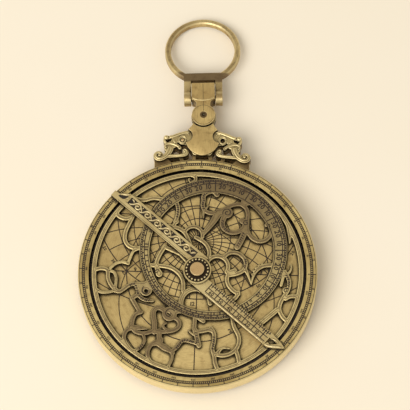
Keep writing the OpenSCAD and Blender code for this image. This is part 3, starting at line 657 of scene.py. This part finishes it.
def softened(node, width, material, body, segments=2, angle=32):
    """Stands for a node with its sharp edges rounded."""
    mesh = nodes[node].data.copy()
    mesh.name = node + "_soft"
    bm = bmesh.new()
    bm.from_mesh(mesh)
    bmesh.ops.remove_doubles(bm, verts=bm.verts, dist=2e-6)
    bmesh.ops.dissolve_limit(bm, angle_limit=math.radians(0.6), verts=bm.verts, edges=bm.edges)
    sharp = [e for e in bm.edges if e.is_manifold and e.calc_face_angle(0) > math.radians(angle)]
    bmesh.ops.bevel(bm, geom=sharp, offset=width * MM, segments=segments, profile=0.5, affect="EDGES",
                    clamp_overlap=True)
    bmesh.ops.dissolve_degenerate(bm, edges=bm.edges, dist=1e-7)
    bm.to_mesh(mesh)
    bm.free()
    obj = bpy.data.objects.new(node + "_soft", mesh)
    bpy.context.scene.collection.objects.link(obj)
    finish_piece(obj, material, body, 50)
    obj.modifiers.new("flat faces", "WEIGHTED_NORMAL").keep_sharp = True
    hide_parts(node)


def paint(node, material):
    mesh = nodes[node].data
    mesh.materials.clear()
    mesh.materials.append(material)


# Limb

def limb():
    softened("limb_ring", 0.1, BODY, "body")
    face = Engraving(LIMB_TOP)
    number_r, scale_r, scale_end, hour_r, edge_r = 46.45, 47.2, 48.15, 48.82, 49.45
    for r, w in ((edge_r, 0.2), (scale_end, 0.34), (scale_r, 0.26)):
        face.circle((0, 0), r, w, 240)
    face.lift()
    for d in range(360):
        start, width = (47.3, 0.46) if d % 5 else (47.0, 0.56)
        face.tick((0, 0), d, start, scale_end, width)
    for d in range(0, 360, 10):
        face.number(str(d), on_circle((0, 0), number_r, d), 0.8, d - 90)
    for hour in range(24):
        d = hour * 15
        face.tick((0, 0), d, 48.2, edge_r, 0.34)
        face.number(str(hour % 12 or 12), on_circle((0, 0), hour_r, d + 7.5), 0.95, d + 7.5 - 90)
    face.make("limb_engraving", "body", "body_brass")


# Plate

# Plain numbers, each with its place and its turn
PLATE_NUMBERS = [
    ("12", (-1.6, -13.4), 0), ("1", (5.2, -15.6), 14), ("2", (14.2, -24.6), 30),
    ("10", (-17.4, -25), -34), ("9", (-26.2, 0.9), 0), ("3", (26.6, 1.0), 0),
]
# The extra circle of the lower half, the height of the arc under the horizon, and the painted shadow at the
# edge
LOWER_CIRCLE = ((0, -12.8), 32.3)
TWILIGHT = -18
GAP_SHADOW_R, GAP_SHADOW_WIDTH = 44.7, 0.96


def plate():
    for node in ("tympan_front", "tympan_middle", "tympan_rear"):
        paint(node, PLATE)
    # The plate's edge under the gap gets a dark ring: painted shadow
    gap_shadow = Engraving(PLATE_TOP)
    gap_shadow.circle((0, 0), GAP_SHADOW_R, GAP_SHADOW_WIDTH, 240)
    gap_shadow.make("plate_gap_shadow", "body", "plate_brass", GAP_SHADOW)
    face = Engraving(PLATE_TOP)
    fine, bold = 0.35, 0.42
    face.circle((0, 0), SKY_R, bold)
    face.circle((0, 0), SKY_R * math.tan(math.pi / 4 - OBLIQUITY / 2), fine)
    for end in ((0, SKY_EDGE), (SKY_EDGE, 0)):
        face.lift()
        face.strip([(-end[0], -end[1]), end], bold)
    face.lift()

    def almucantar(altitude):
        """Centre and radius of the circle for a height above the horizon, in degrees."""
        a = math.radians(altitude)
        depth = math.sin(LATITUDE) + math.sin(a)
        return (0, SKY_R * math.cos(LATITUDE) / depth), SKY_R * math.cos(a) / depth

    def inside(p):
        return math.hypot(p[0], p[1]) < SKY_EDGE

    horizon, horizon_r = almucantar(0)

    def above(p):
        return inside(p) and math.dist(p, horizon) < horizon_r + 0.1

    def below(p):
        return inside(p) and p[1] < 0

    def ring(centre, r, width, keep):
        face.clipped(arc(centre, r, -270, 90, math.degrees(0.5 / r)), width, keep)

    for altitude in range(0, 90, 10):
        ring(*almucantar(altitude), fine if altitude else bold, above)
    face.lift()
    ring(*almucantar(TWILIGHT), fine, below)
    ring(*LOWER_CIRCLE, fine, below)
    zenith = SKY_R * math.tan(math.pi / 4 - LATITUDE / 2)
    nadir = -SKY_R * math.tan(math.pi / 4 + LATITUDE / 2)
    middle, half = (zenith + nadir) / 2, (zenith - nadir) / 2
    face.lift()
    for azimuth in range(-80, 90, 10):
        a = math.radians(azimuth)
        stop = 0.6 if azimuth % 30 == 0 else 2.9

        def shown(p):
            return above(p) and math.dist(p, (0, zenith)) > stop

        ring((half * math.tan(a), middle), half / math.cos(a), fine, shown)
    face.lift()
    spacing = 8.5
    for step in (-7, -6, -5, -4, 4, 5, 6, 7):
        d = spacing * step
        face.number(str(10 * (9 - abs(step))), on_circle(horizon, horizon_r + 1.3, d - 90), 1.25, d)
    for label, place, turn in PLATE_NUMBERS:
        face.number(label, place, 1.7, turn)
    face.make("plate_engraving", "body", "plate_brass")


# Rete

# Straps with a row of cuts along them, and scrolls that end in a volute
NOTCHED = [
    [(5.4, 35.6), (3, 35.1), (1.4, 33.5), (1.5, 31.5), (1.1, 29.5), (1.7, 27.6)],
    [(19.2, 18.2), (17.7, 14.4), (16.5, 11.8)],
    [(10.2, 23.6), (9.7, 21.6), (10.5, 19.4), (12.4, 18)],
    [(-28.8, -7.2), (-26.2, -6.1), (-25, -8.2), (-24, -11), (-21.6, -12.8), (-19, -13.1)],
    [(-20.9, -29.2), (-21.5, -32.2), (-23.2, -34)],
    [(-0.1, -25.6), (0.5, -27.2), (1.2, -30.4)],
    [(36.6, 0.2), (38.2, -3.2), (37.8, -6.4)],
    [(-10.2, 30.8), (-9.2, 27.6), (-9.4, 23.4)],
    [(-8.4, -35), (-6.6, -32), (-4.2, -29.8), (0.6, -30.8)],
    [(7.8, -27), (7.8, -30), (7.5, -33)],
    [(19.6, 7), (20, 3.8), (18.8, 1)],
]
VOLUTES = [
    ((11.6, 26.3), 1.9, 200, -320), ((19.6, 21.9), 1.2, 60, 480), ((-21.1, -8.8), 1.9, 120, 480),
    ((-10.9, -18.6), 2.4, 30, 400), ((37, -7.2), 1.0, 40, 420), ((29, 21.0), 0.8, -60, 300),
    ((-4, 40.9), 1.0, 90, -330), ((7.0, 34.6), 0.9, 120, -240), ((-16.9, -0.4), 0.9, 0, 360),
]


def rete():
    outlines = [rounded(loop) for loop in face_loops("rete", RETE_TOP)]
    body = cut_plate("rete_cut", outlines, RETE_LOW, RETE_TOP, 0.19, RETE, "rete_body", "rete_brass", 2)
    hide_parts("rete")
    grooves(outlines)
    mesh = body.data
    straps = BVHTree.FromPolygons([v.co for v in mesh.vertices], [p.vertices[:] for p in mesh.polygons])

    def on_strap(p):
        above = Vector((p[0], p[1], RETE_TOP + 1)) * MM
        return straps.ray_cast(above, Vector((0, 0, -1)), 1.05 * MM)[0] is not None

    lines = Engraving(RETE_TOP)
    for path in NOTCHED:
        lines.hatch(path, 0.95, 0.95, 0.46, on_strap)
    for centre, r, start, end in VOLUTES:
        lines.clipped(spiral(centre, r, 0.35, start, end), 0.36, on_strap)
    lines.make("rete_engraving", "rete_body", "rete_brass")
    ecliptic()


def grooves(outlines):
    """A shallow line inside each edge of the straps, left out where a strap is too narrow."""
    lines = Engraving(RETE_TOP, 0.02)
    reach, room, hub, bore = 0.68, 0.6, 6.2, 6
    evenly = []
    for loop in outlines:
        points = []
        for a, b in zip(loop, loop[1:] + loop[:1]):
            parts = max(1, round((b - a).length / 0.3))
            points += [a + (b - a) * i / parts for i in range(parts)]
        evenly.append(points)
    tree = KDTree(sum(len(points) for points in evenly))
    for i, p in enumerate(p for points in evenly for p in points):
        tree.insert((p.x, p.y, 0), i)
    tree.balance()
    centre, outer = ECLIPTIC
    inner_centre, inner = ECLIPTIC_INNER

    def free(p):
        if tree.find((p.x, p.y, 0))[2] < room or p.length < hub:
            return False
        return math.dist(p, centre) > outer or math.dist(p, inner_centre) < inner

    for points in evenly:
        if max(p.length for p in points) < bore:
            continue
        moved = []
        for i, p in enumerate(points):
            d = (points[(i + 2) % len(points)] - points[i - 2]).normalized()
            moved.append(p + Vector((-d.y, d.x)) * reach)
        lines.clipped(moved + moved[:1], 0.22, free)
    lines.make("strap_grooves", "rete_body", "rete_brass", GROOVE)


def ecliptic():
    centre, outer = ECLIPTIC
    inner_centre, inner = ECLIPTIC_INNER
    scale_r, band_r, number_r = outer - 1.1, outer - 2.0, outer - 3.3
    count, edge = 180, 0.3
    verts, faces = [], []
    for i in range(count):
        d = 360 * i / count
        for c, r in ((centre, outer - edge), (inner_centre, inner + edge)):
            x, y = on_circle(c, r, d)
            verts += [(x, y, RETE_TOP - 0.05), (x, y, RETE_TOP + ENGRAVED)]
    for i in range(count):
        a, b = 4 * i, 4 * ((i + 1) % count)
        for j, k in ((0, 1), (1, 3), (3, 2), (2, 0)):
            faces.append((a + j, b + j, b + k, a + k))
    new_piece("ecliptic_scale", verts, faces, SCALE, "rete_body", "rete_brass")
    face = Engraving(RETE_TOP + ENGRAVED)
    for r, w in ((0.42, 0.3), (1.12, 0.34), (2.0, 0.4)):
        face.circle(centre, outer - r, w)
    stop = inner + 0.55
    face.circle(inner_centre, stop, 0.3)

    def on_ring(p):
        return math.dist(p, inner_centre) > stop

    def spoke(degrees, steps, width):
        face.clipped([on_circle(centre, band_r - 0.1 * i, degrees) for i in range(steps)], width, on_ring)

    face.lift()
    for d in range(0, 360, 2):
        face.tick(centre, d, scale_r, outer - 0.45, 0.56)
    face.lift()
    for d in range(0, 360, 5):
        face.tick(centre, d, band_r, scale_r, 0.5)
        if math.dist(on_circle(centre, number_r, d), inner_centre) < inner + 1.1:
            spoke(d + 2.5, 20, 0.5)
    for d in range(0, 360, 30):
        spoke(d, 50, 0.4)
        for part in (6, 15, 24):
            p = on_circle(centre, number_r, d + part)
            room = math.dist(p, inner_centre) - inner - 0.7
            if room > 0.4:
                face.number(str(round(part / 9) * 10), p, min(2.1, 2 * room), d + part - 90)
    face.make("ecliptic_engraving", "rete_body", "rete_brass")
    rims = Engraving(RETE_TOP, 0.08)
    rims.circle(centre, outer - 0.16, 0.2)
    rims.circle(inner_centre, inner + 0.25, 0.26)
    rims.make("ecliptic_rims", "rete_body", "rete_brass", RETE)


# Rule

def on_rule(u, v):
    c, s = math.cos(RULE_TURN), math.sin(RULE_TURN)
    return (u * c - v * s, u * s + v * c)


def rule_ridge(points, widths, z, height, **facets):
    return ridge([on_rule(*p) for p in points], widths, z, height, **facets)


# One running scroll: a stem that rises, arches over and curls in, and its leaf. Points are shares of the
# pitch along the rule and of the rise across it.
SCROLL = [(-0.72, -0.27), (-0.52, -0.2), (-0.36, -0.04), (-0.24, 0.16), (-0.04, 0.27), (0.17, 0.2),
          (0.25, 0.0), (0.15, -0.19), (-0.05, -0.21), (-0.14, -0.06), (-0.03, 0.06), (0.07, 0.0)]
SCROLL_LEAF = [(0.22, 0.14), (0.38, 0.02), (0.5, -0.16)]
SCROLL_COUNT = 6
SCROLL_START, SCROLL_PITCH, SCROLL_RISE, SCROLL_LIFT = -37.6, 5.5, 5.0, 0.55

# The sunk band that the scrolls lie in, and the ground that carries on past its end
BAND_START, BAND_END, GROUND_END = -42.1, -7.1, -5.0
BAND_MIDDLE, BAND_WIDTH = 4.52, 2.92

# Leaves at the rule's tips and the ridge along its scale: points, widths and height
RULE_TIPS = [
    ([(-47.2, 3.6), (-45.6, 4.7), (-44.3, 5.6), (-43.4, 6.8)], (0.5, 1.0, 0.6), 0.55),
    ([(-43.8, 3.4), (-43.2, 4.6), (-42.6, 5.2)], (0.5, 0.8, 0.5), 0.5),
    ([(41.6, -5.9), (44, -4.9), (46.4, -3.2), (48.2, -2.0)], (0.8, 1.3, 0.8), 0.6),
    ([(42.1, -2.2), (43.6, -1.6), (46.0, -1.4)], (0.5, 0.8, 0.5), 0.5),
    ([(9, -5.5), (25, -5.5), (40.6, -5.5)], (0.7, 0.7, 0.7), 0.28),
]


def rule():
    softened("rule", 0.1, PALE, "rule_body", segments=1)
    ground = Engraving(BAND_FLOOR, 0.02)
    ground.strip([on_rule(BAND_START, BAND_MIDDLE), on_rule(BAND_END, BAND_MIDDLE)], BAND_WIDTH)
    ground.make("scroll_ground", "rule_body", "pale_brass", GROUND)
    tip = rule_ridge([(-47.1, 2.9), (-45.3, 3.9), (-43.6, 5.3)], (0.6, 2.3, 1.9), RULE_FACE, 0.03, sides=2)
    new_piece("tip_ground", *tip, GROUND, "rule_body", "pale_brass")
    end_ground = Engraving(RULE_FACE)
    end_ground.strip([on_rule(BAND_END, BAND_MIDDLE), on_rule(GROUND_END, BAND_MIDDLE)], BAND_WIDTH)
    end_ground.make("scroll_ground_end", "rule_body", "pale_brass", GROUND)

    def on_band(i, u, v):
        return on_rule(SCROLL_START + SCROLL_PITCH * (i + u), BAND_MIDDLE + SCROLL_RISE * v)

    parts = []
    for i in range(SCROLL_COUNT):
        stem = [on_band(i, u, v) for u, v in SCROLL]
        parts.append(ridge(stem, (0.6, 0.95, 0.85, 0.75), BAND_FLOOR, SCROLL_LIFT, steps=4))
        parts.append(ridge([on_band(i, u, v) for u, v in SCROLL_LEAF], (0.8, 0.5), BAND_FLOOR, SCROLL_LIFT))
        parts.append(dome(on_band(i, 0.4, 0.21), 0.34, BAND_FLOOR, 0.42, 4, 12))
    first_leaf = [(-41.7, 5.6), (-40.7, 5.5), (-39.9, 5.0)]
    parts.append(rule_ridge(first_leaf, (0.6, 0.8, 0.5), BAND_FLOOR, 0.45, steps=4))
    end_leaf = [(-7.1, 3.8), (-6.3, 4.8), (-5.3, 5.3)]
    parts.append(rule_ridge(end_leaf, (0.7, 0.9, 0.6), RULE_FACE, 0.3, steps=4))
    new_piece("rule_scrolls", *joined(parts), SCROLLWORK, "rule_body", "pale_brass", 60)
    parts = [rule_ridge(points, widths, RULE_FACE, height, sides=4) for points, widths, height in RULE_TIPS]
    new_piece("rule_tips", *joined(parts), SCROLLWORK, "rule_body", "pale_brass", 60)
    face = Engraving(RULE_FACE)
    start, end = 8.6, 41.0
    edge, scale, foot = -0.1, -0.95, -4.75
    for v, w in ((scale, 0.3), (-2.7, 0.34), (foot, 0.34)):
        face.strip([on_rule(start, v), on_rule(end, v)], w)
    face.strip([on_rule(-46, 1.45), on_rule(-8, 1.45)], 0.12)
    face.strip([on_rule(-43, 2.9), on_rule(-7.4, 2.9)], 0.16)
    face.lift()
    for step in range(33):
        u = start + step
        face.strip([on_rule(u, edge), on_rule(u, scale)], 0.46)
        if step % 5 == 0:
            face.strip([on_rule(u, scale), on_rule(u, foot)], 0.4)
        elif step % 2:
            face.strip([on_rule(u, -1.0), on_rule(u, -1.9)], 0.38)
    for i in range(6):
        face.number(str(60 - 10 * i), on_rule(start + 2.5 + 5 * i, -3.72), 1.5, math.degrees(RULE_TURN))
    face.make("rule_engraving", "rule_body", "pale_brass")


# Pivot

def pivot():
    paint("collar", BEADS)
    paint("spring_washer", DARK)
    paint("pivot_bolt", DARK)
    paint("back_washer", DARK)
    softened("cap_nut", 0.14, CAP, "body")


# Throne

def throne():
    relief = [rounded(loop) for loop in face_loops("throne", THRONE_TOP)]
    upper = cut_plate("throne_relief", relief, WEB_TOP - 0.4, THRONE_TOP, 0.42, THRONE, "body",
                      "body_brass", 3)
    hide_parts("throne")
    whole = [rounded(loop) for loop in face_loops("throne", THRONE_LOW, -1)]
    cut_plate("throne_web", whole, THRONE_LOW, WEB_TOP, 0.15, WEB, "body", "body_brass", both=True)
    tang()
    edge = [rounded(loop, 50, 1) for loop in face_loops("throne_shield", SHIELD_TOP)]
    shield = cut_plate("shield_cut", edge, SHIELD_LOW, SHIELD_TOP, 0.25, LINK, "body", "pale_brass", 2)
    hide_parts("throne_shield")
    paint("throne_dowels", DARK)
    carving()


TANG_R = 5.3
TANG_T = 3.0
RIVET_HOLE = 1.55


def tang():
    """The round tongue that the link's cheeks turn on."""
    outline = arc((0, LINK_AT.y), TANG_R, -30, 210, 6) + [(-4.5, 62.0), (4.5, 62.0)]
    hole = arc((0, LINK_AT.y), RIVET_HOLE, 350, 0, 10)
    loops = [[Vector(p) for p in loop] for loop in (outline, hole)]
    cut_plate("throne_tang", loops, LINK_AT.z - TANG_T / 2, LINK_AT.z + TANG_T / 2, 0.12, THRONE, "body",
              "body_brass", both=True)


# Ridges of one creature head and its scrolls: points, widths and height. Domes: place, radius and height.
# x is drawn from the middle and y from the limb's edge.
HEAD_RIDGES = [
    ([(13.8, 6.2), (14.2, 4.2), (15.3, 2.2), (17.1, 0.8), (18.9, 0.7), (19.8, 1.9), (19.1, 3.0), (17.9, 2.9),
      (17.5, 2.2)], (2.2, 1.3, 1.1, 0.9), 0.7),
    ([(14.6, 1.9), (11.8, 2.1), (9.2, 2.3), (7.0, 3.0), (6.6, 4.3), (7.5, 4.9), (8.2, 4.2)],
     (0.7, 1.1, 0.9, 0.8), 0.6),
    ([(9.8, 5.6), (11.2, 6.7), (13.2, 7.4), (15.3, 7.2), (15.9, 6.0), (15.2, 5.2)],
     (0.9, 1.3, 1.0, 0.7), 0.65),
    ([(5.4, 13.0), (7.6, 12.6), (10.4, 11.7), (13.0, 10.7), (14.4, 10.5)], (0.8, 1.2, 1.4, 1.5), 0.6),
    ([(16.2, 9.4), (16.1, 8.4), (15.3, 7.9)], (0.8, 0.7), 0.4),
    ([(5.9, 11.2), (6.4, 12.2), (7.6, 12.0)], (0.5, 0.8), 0.45),
    ([(12.4, 9.8), (12.2, 8.6), (11.4, 7.7)], (0.7, 1.1, 0.7), 0.5),
]
HEAD_DOMES = [((15.6, 10.2), 1.05, 0.9), ((18.2, 2.0), 0.7, 0.7), ((7.5, 3.9), 0.65, 0.6)]
EYE = (8.6, 9.4)


def on_throne(side, x, y):
    return (side * x, LIMB_R + y)


def carving():
    """Relief of the two creature heads and scrolls, each the mirror of the other."""
    z = THRONE_TOP - 0.15
    parts = []
    for side in (-1, 1):
        for points, widths, height in HEAD_RIDGES:
            parts.append(ridge([on_throne(side, *p) for p in points], widths, z, height))
        rim = [on_circle(on_throne(side, *EYE), 1.6, 30 * i) for i in range(13)]
        parts.append(ridge(rim, (0.65, 0.65), z, 0.55, steps=3))
        for place, r, height in HEAD_DOMES:
            parts.append(dome(on_throne(side, *place), r, z, height))
    new_piece("throne_carving", *joined(parts), THRONE, "body", "body_brass", 60)
    boss = dome(on_throne(-1, *EYE), 0.98, THRONE_TOP - 0.5, 0.5)
    new_piece("eye_rivet", *boss, CAP, "body", "body_brass", 60)


# Suspension

def on_link(x, y):
    c, s = math.cos(LINK_TURN), math.sin(LINK_TURN)
    return (LINK_AT.x + x * c - y * s, LINK_AT.y + x * s + y * c)


def suspension():
    softened("swivel_link", 0.3, LINK, "link_body")
    paint("link_rivet", DARK)
    face = Engraving(LINK_TOP)
    face.strip([on_link(0, 1.8), on_link(0, 14.2)], 0.14)
    head_r = 4.45
    for points in (arc((0, 0), head_r, 20, 160, 6), arc((0, 0), head_r, 200, 340, 6)):
        face.strip([on_link(*p) for p in points], 0.12)
    face.make("link_lines", "link_body", "pale_brass")
    lip = [on_link(x, y) for x, y in ((-4.7, 8.0), (-3, 7.2), (0, 6.9), (3, 7.2), (4.7, 8.0))]
    new_piece("link_lip", *ridge(lip, (0.6, 0.8, 0.6), LINK_TOP, 0.22), LINK, "link_body", "pale_brass", 60)
    softened("suspension_ring", 0.3, RING, "ring_body")
    paint("ring_pin", DARK)


# Back

def back():
    softened("alidade", 0.12, PALE, "alidade_body", segments=1)
    for side in ("upper", "lower"):
        softened("sight_vane_" + side, 0.05, PALE, f"vane_{side}_body", segments=1)
        paint("vane_pin_" + side, DARK)
    paint("mater_plate", BODY)
    paint("limb_rivets", DARK)
    face = Engraving(BACK_Z, -ENGRAVED)
    edge_r, tick_r, scale_r, number_r = 48.6, 48.0, 47.2, 46.3
    for r in (edge_r, scale_r, 45.4, 31.0, 30.2):
        face.circle((0, 0), r, 0.2, 240)
    face.lift()
    for d in range(360):
        face.tick((0, 0), d, scale_r, edge_r if d % 5 == 0 else tick_r, 0.26)
    for d in range(0, 360, 10):
        shown = min(d % 180, 180 - d % 180)
        face.number(str(shown), on_circle((0, 0), number_r, d), 1.2, d - 90, -1)
    face.make("back_engraving", "body", "body_brass")


# Surroundings

def floor():
    size = 1.6
    mesh = bpy.data.meshes.new("floor")
    corners = [(-size, -size, 0), (size, -size, 0), (size, size, 0), (-size, size, 0)]
    mesh.from_pydata(corners, [], [(0, 1, 2, 3)])
    obj = bpy.data.objects.new("floor", mesh)
    obj.location.z = -0.00005
    bpy.context.scene.collection.objects.link(obj)
    g = Graph("floor_paper", "ShaderNodeBsdfDiffuse")
    tone = g.mix(g.ramp(g.noise(6, 3), 0.3, 0.7), rgb(253, 244, 226), rgb(251, 241, 220))
    g.put(tone, g.shader.inputs["Color"])
    mesh.materials.append(g.mat)


def lamp(name, place, size, power, colour):
    light = bpy.data.lights.new(name, "AREA")
    light.shape = "DISK"
    light.size = size
    light.energy = power
    light.color = colour
    obj = bpy.data.objects.new(name, light)
    obj.location = place
    obj.rotation_euler = (Vector((0, 0.02, 0)) - Vector(place)).to_track_quat("-Z", "Y").to_euler()
    bpy.context.scene.collection.objects.link(obj)


def lights():
    world = bpy.data.worlds.new("studio")
    bpy.context.scene.world = world
    world.use_nodes = True
    back_light = world.node_tree.nodes["Background"]
    back_light.inputs["Color"].default_value = (1.0, 0.95, 0.85, 1)
    back_light.inputs["Strength"].default_value = 0.56
    lamp("key", (-0.68, -0.76, 1.34), 1.2, 18.6, (1.0, 0.97, 0.95))


def camera():
    tilt, swing, roll = (math.radians(v) for v in (19.31, 6.15, 2.14))
    target, distance = Vector((2.13, 29.41, LIMB_TOP)), 800
    focal_pixels, frame_pixels, sensor = 1895.2, 410, 36
    back_way = Vector((math.sin(tilt) * math.sin(swing), -math.sin(tilt) * math.cos(swing), math.cos(tilt)))
    up = (Vector((0, 1, 0)) - back_way * back_way.y).normalized()
    right = up.cross(back_way)
    up_rolled = up * math.cos(roll) - right * math.sin(roll)
    right_rolled = right * math.cos(roll) + up * math.sin(roll)
    data = bpy.data.cameras.new("camera")
    data.sensor_width = sensor
    data.lens = focal_pixels * sensor / frame_pixels
    data.clip_end = 10
    obj = bpy.data.objects.new("camera", data)
    turn = Matrix((right_rolled, up_rolled, back_way)).transposed()
    obj.matrix_world = Matrix.Translation((target + back_way * distance) * MM) @ turn.to_4x4()
    bpy.context.scene.collection.objects.link(obj)
    bpy.context.scene.camera = obj


camera()
lights()
floor()
limb()
plate()
rete()
rule()
pivot()
throne()
suspension()
back()
bpy.context.scene.view_settings.view_transform = "Standard"
